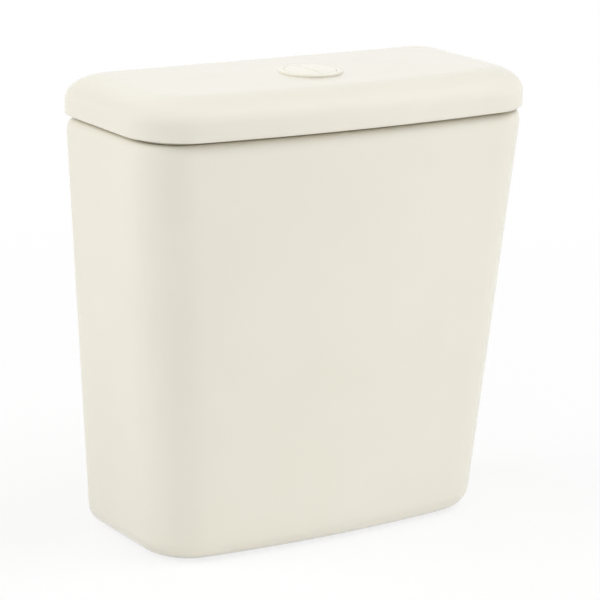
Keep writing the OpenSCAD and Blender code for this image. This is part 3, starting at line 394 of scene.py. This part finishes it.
def quarter_rings(node):
    """Cuts a solid's flat rings across both ways, so that no face wraps round its own hole"""
    low, high = [Vector(corner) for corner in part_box(node)]
    for across in ((1, 0, 0), (0, 1, 0)):
        bpy.ops.mesh.select_all(action="SELECT")
        bpy.ops.mesh.bisect(plane_co=(low + high) / 2, plane_no=across)


def refine(node, edge, gap):
    """Merged copy of a solid with its sharp outer edges rounded"""
    piece = bpy.data.objects.new(node + "_moulded", solids[node].data.copy())
    bpy.context.scene.collection.objects.link(piece)
    take(piece)
    bpy.ops.mesh.customdata_custom_splitnormals_clear()
    bpy.ops.object.mode_set(mode="EDIT")
    close_up(gap)
    bpy.ops.mesh.select_all(action="SELECT")
    bpy.ops.mesh.dissolve_limited(angle_limit=FLAT)
    if node in RINGS:
        quarter_rings(node)
    bpy.ops.mesh.select_all(action="DESELECT")
    bpy.ops.mesh.select_mode(type="EDGE")
    work = bmesh.from_edit_mesh(piece.data)
    for e in work.edges:
        if len(e.link_faces) == 2 and e.is_convex and e.calc_face_angle() > SHARP:
            e.select_set(True)
    bmesh.update_edit_mesh(piece.data)
    bpy.ops.mesh.bevel(offset=edge * MM, segments=EDGE_STEPS, affect="EDGES", clamp_overlap=True)
    close_up(SAME_POINT)
    bpy.ops.object.mode_set(mode="OBJECT")
    return piece


# Finishes

class Wire:
    """A socket in a graph, so that shader maths reads as plain expressions"""

    def __init__(self, graph, socket):
        self.graph = graph
        self.socket = socket

    def maths(self, operation, first, second):
        return self.graph.node("ShaderNodeMath", {"operation": operation}, {0: first, 1: second})

    def __add__(self, other):
        return self.maths("ADD", self, other)

    def __radd__(self, other):
        return self.maths("ADD", other, self)

    def __mul__(self, other):
        return self.maths("MULTIPLY", self, other)

    def __rmul__(self, other):
        return self.maths("MULTIPLY", other, self)

    def __sub__(self, other):
        return self.maths("SUBTRACT", self, other)

    def __rsub__(self, other):
        return self.maths("SUBTRACT", other, self)


class Graph:
    """The nodes of a material or of the world, as they are being wired"""

    def __init__(self, owner, place="Object"):
        owner.use_nodes = True
        self.owner = owner
        self.tree = owner.node_tree
        self.tree.nodes.clear()
        self.place = self.node("ShaderNodeTexCoord", output=place)

    def node(self, kind, settings=None, inputs=None, output=0):
        """Adds one node: its settings first, then the values or wires of its sockets"""
        made = self.tree.nodes.new(kind)
        for key, value in (settings or {}).items():
            if key == "stops":
                ramp = made.color_ramp.elements
                while len(ramp) < len(value):
                    ramp.new(1)
                for stop, (at, level) in zip(ramp, value):
                    stop.position = at
                    stop.color = (level, level, level, 1)
            else:
                setattr(made, key, value)
        for key, value in (inputs or {}).items():
            if isinstance(value, Wire):
                self.tree.links.new(value.socket, made.inputs[key])
            else:
                made.inputs[key].default_value = value
        return Wire(self, made.outputs[output] if made.outputs else None)

    def noise(self, scale, detail=3, rough=0.5, stretch=(1, 1, 1)):
        at = self.node("ShaderNodeMapping", {}, {"Vector": self.place, "Scale": stretch})
        return self.node("ShaderNodeTexNoise", {},
                         {"Vector": at, "Scale": scale, "Detail": detail, "Roughness": rough})

    def along(self, axis):
        return self.node("ShaderNodeSeparateXYZ", {}, {0: self.place}, output=axis)

    def ramp(self, value, *stops):
        return self.node("ShaderNodeValToRGB", {"stops": stops}, {"Fac": value})

    def blend(self, share, first, second):
        """Colour between two others"""
        first, second = [c if isinstance(c, Wire) else (*c, 1) for c in (first, second)]
        return self.node("ShaderNodeMix", {"data_type": "RGBA"},
                         {"Factor": share, 6: first, 7: second}, output=2)

    def bump(self, height, strength, depth):
        return self.node("ShaderNodeBump", {},
                         {"Height": height, "Strength": strength, "Distance": depth * MM})

    def larger(self, first, second):
        return self.node("ShaderNodeMath", {"operation": "MAXIMUM"}, {0: first, 1: second})

    def seen(self):
        """One where the eye looks straight, in a reflection or through a clear piece"""
        camera, glossy, clear = [self.node("ShaderNodeLightPath", output=f"Is {ray} Ray")
                                 for ray in ("Camera", "Glossy", "Transmission")]
        return self.larger(camera, self.larger(glossy, clear))

    def close(self, shader, end="ShaderNodeOutputMaterial"):
        self.node(end, {}, {"Surface": shader})
        return self.owner

    def coat(self, **inputs):
        """Closes a material with its shader, whose sockets are given by their names"""
        sockets = {key.replace("_", " "): value for key, value in inputs.items()}
        return self.close(self.node("ShaderNodeBsdfPrincipled", {}, sockets))


def paint(name):
    return Graph(bpy.data.materials.new(name))


def glazed(name, bare_z):
    """Cream glaze: faint clouding, a soft pull in the gloss, and bare clay below a height"""
    g = paint(name)
    cloud = g.noise(9, 2)
    pull = g.noise(46, 2)
    grain = g.noise(2600, 3)
    over = g.along("Z") * (1 / MM) - bare_z
    bare = g.ramp(over, (0, 1), (0.3, 0))
    glaze = g.blend(g.ramp(cloud, (0.3, 0), (0.7, 1)), (0.773, 0.740, 0.640), (0.792, 0.763, 0.668))
    clay = g.blend(grain, (0.62, 0.56, 0.47), (0.74, 0.69, 0.60))
    return g.coat(Base_Color=g.blend(bare, glaze, clay), Roughness=0.13 + pull * 0.07 + bare * 0.6,
                  Normal=g.bump(pull + grain * bare, 0.10, 0.25), IOR=1.52)


def moulded(name, colour, shade, rough):
    """Moulded plastic: flow marks, a fine satin grain and a little handling polish"""
    g = paint(name)
    flow = g.noise(60, 3, 0.6, (1, 1, 0.25))
    grain = g.noise(3200, 2)
    polish = g.noise(160, 4)
    return g.coat(Base_Color=g.blend(g.ramp(flow, (0.35, 0), (0.7, 1)), colour, shade),
                  Roughness=rough - 0.06 + polish * 0.14, Normal=g.bump(grain, 0.12, 0.05), IOR=1.49)


def rubbery():
    """Black moulded rubber with a dusty bloom"""
    g = paint("black_rubber")
    bloom = g.noise(140, 4, 0.65)
    grain = g.noise(2400, 2)
    tint = g.blend(g.ramp(bloom, (0.4, 0), (0.75, 1)), (0.016, 0.016, 0.017), (0.05, 0.05, 0.048))
    return g.coat(Base_Color=tint, Roughness=0.62 + bloom * 0.2, Normal=g.bump(grain, 0.3, 0.08))


def drawn_steel():
    """Bright steel with draw marks"""
    g = paint("drawn_steel")
    marks = g.noise(900, 3, 0.6, (0.1, 1, 1))
    tint = g.blend(marks, (0.50, 0.51, 0.53), (0.66, 0.67, 0.69))
    return g.coat(Base_Color=tint, Metallic=1.0, Roughness=0.2 + marks * 0.16,
                  Normal=g.bump(marks, 0.15, 0.03))


finishes = {
    "button_cream": moulded("cream_plastic", (0.835, 0.805, 0.705), (0.855, 0.830, 0.740), 0.30),
    "white_plastic": moulded("white_plastic", (0.78, 0.79, 0.78), (0.83, 0.84, 0.83), 0.38),
    "grey_plastic": moulded("grey_plastic", (0.24, 0.26, 0.28), (0.30, 0.32, 0.34), 0.46),
    "blue_plastic": moulded("blue_plastic", (0.030, 0.125, 0.36), (0.045, 0.165, 0.43), 0.36),
    "green_plastic": moulded("green_plastic", (0.055, 0.29, 0.13), (0.085, 0.36, 0.18), 0.36),
    "rubber": rubbery(),
    "steel": drawn_steel(),
}

# Pieces

EDGE_BY_SLOT = {"button_cream": 0.15, "white_plastic": 0.4, "grey_plastic": 0.35, "blue_plastic": 0.35,
                "green_plastic": 0.35, "rubber": 0.5, "steel": 0.3}
# Solids whose flat rings are quartered
RINGS = {"flush_valve_base"}
# Slivers on a solid's edges that would hold its rounding back
SLIVERS = {"button_nut": 0.1, "coupling_gasket": 0.25}
# Threads by node: place, radius, lower and upper end, pitch and depth
THREADS = {
    "button_bezel": [(0, -BUTTON_OFF, SLEEVE_R, WEB_Z - 3, LID_UNDER - 6, 3, 0.9)],
    "fill_valve_shank": [(INLET_X, OUTLET_Y, INLET_R, TAIL_END, TAIL_TOP, 1.814, 0.9),
                         (INLET_X, OUTLET_Y, SHANK_R, SHANK_LOW, SHANK_HIGH, 3, 0.8)],
    "float_adjuster": [(INLET_X, ADJUSTER_Y, ADJUSTER_R, ADJUSTER_LOW, ADJUSTER_HIGH, 1.2, 0.4)],
}

cast_tank()
cast_lid()
wind_spring(1, "full_button_spring")
wind_spring(-1, "half_button_spring")
for node_name, slot_name in slot_of.items():
    if slot_name == "glaze" or node_name.endswith("_spring"):
        continue
    dressed = refine(node_name, EDGE_BY_SLOT[slot_name], SLIVERS.get(node_name, SAME_POINT))
    for thread in THREADS.get(node_name, []):
        cut_thread(dressed, *thread)
    smooth(dressed)
    stand_for(dressed, node_name)


# Stage, light and camera

FLOOR_R, FLOOR_STEPS, FLOOR_DROP = 9, 96, 0.2
SHADOW_R, SHADOW_SHARE = 1.2, 0.80
ROOM_LIGHT = 0.28
LAMP_AIM = Vector((0, 0, 0.2))
# Lamps by name: place, size and power
LAMPS = {
    "left_box": ((-2.4, 0.9, 1.1), (2.0, 2.0), 24),
    "high_left_box": ((-1.9, 0.7, 1.9), (1.8, 1.6), 15),
    "top_box": ((-0.9, -0.6, 2.4), (2.4, 2.0), 13),
    "right_box": ((1.3, -0.9, 2.4), (1.8, 1.6), 38),
    "low_card": ((0.2, -1.2, 0.15), (1.6, 0.3), 4.3),
    "back_box": ((0.5, 2.5, 0.45), (2.0, 0.8), 24),
}


def build_stage():
    """Pale floor, lit by the lamps, that fades to plain white away from the object"""
    clear_hands()
    bpy.ops.mesh.primitive_circle_add(vertices=FLOOR_STEPS, radius=FLOOR_R, fill_type="NGON",
                                      location=(0, 0, -FLOOR_DROP * MM))
    floor = bpy.context.object
    floor.name = "floor"
    g = paint("pale_floor")
    paper = g.noise(14, 2)
    away = g.node("ShaderNodeVectorMath", {"operation": "LENGTH"}, {0: g.place}, output="Value")
    white = g.ramp(away * (1 / SHADOW_R), (0.2, SHADOW_SHARE), (1, 1))
    matte = g.node("ShaderNodeBsdfDiffuse", {}, {"Color": g.blend(paper, (0.86,) * 3, (0.88,) * 3)})
    glow = g.node("ShaderNodeEmission", {}, {"Color": (1, 1, 1, 1), "Strength": 1})
    floor.data.materials.append(
        g.close(g.node("ShaderNodeMixShader", {}, {0: g.seen() * white, 1: matte, 2: glow})))


def build_world():
    """White to the eye, and a low even light from all round"""
    world = bpy.data.worlds.new("studio")
    bpy.context.scene.world = world
    g = Graph(world, "Generated")
    seen = g.seen()
    strength = seen + (1 - seen) * ROOM_LIGHT
    g.close(g.node("ShaderNodeBackground", {}, {"Color": (1, 1, 1, 1), "Strength": strength}),
            "ShaderNodeOutputWorld")


def softbox(name, place, size, power):
    """Soft lamp that lights the object but shows neither itself nor its reflection"""
    lamp = bpy.data.lights.new(name, "AREA")
    lamp.shape = "RECTANGLE"
    lamp.size, lamp.size_y = size
    lamp.energy = power
    box = bpy.data.objects.new(name, lamp)
    bpy.context.scene.collection.objects.link(box)
    box.location = place
    box.visible_camera = box.visible_glossy = False
    box.rotation_euler = (LAMP_AIM - Vector(place)).to_track_quat("-Z", "Y").to_euler()


CAMERA_AZIMUTH, CAMERA_HEIGHT, CAMERA_ROLL = -33.61, 15.03, 1.68
CAMERA_AIM = Vector((-4.48, -5.30, 196.17)) * MM
CAMERA_DISTANCE = 2.2599
IMAGE_PIXELS, FOCAL_PIXELS, SENSOR, FAR_END = 600, 2687.6, 36, 60


def build_camera():
    camera = bpy.data.cameras.new("camera")
    camera.sensor_width = SENSOR
    camera.lens = FOCAL_PIXELS / IMAGE_PIXELS * SENSOR
    camera.clip_end = FAR_END
    holder = bpy.data.objects.new("camera", camera)
    bpy.context.scene.collection.objects.link(holder)
    a, e = math.radians(CAMERA_AZIMUTH), math.radians(CAMERA_HEIGHT)
    back = Vector((math.sin(a) * math.cos(e), -math.cos(a) * math.cos(e), math.sin(e)))
    holder.location = CAMERA_AIM + back * CAMERA_DISTANCE
    holder.rotation_mode = "QUATERNION"
    roll = Quaternion((0, 0, 1), math.radians(CAMERA_ROLL))
    holder.rotation_quaternion = (-back).to_track_quat("-Z", "Y") @ roll
    bpy.context.scene.camera = holder


build_stage()
build_world()
for lamp_name, lamp_facts in LAMPS.items():
    softbox(lamp_name, *lamp_facts)
build_camera()
bpy.context.scene.view_settings.view_transform = "Standard"
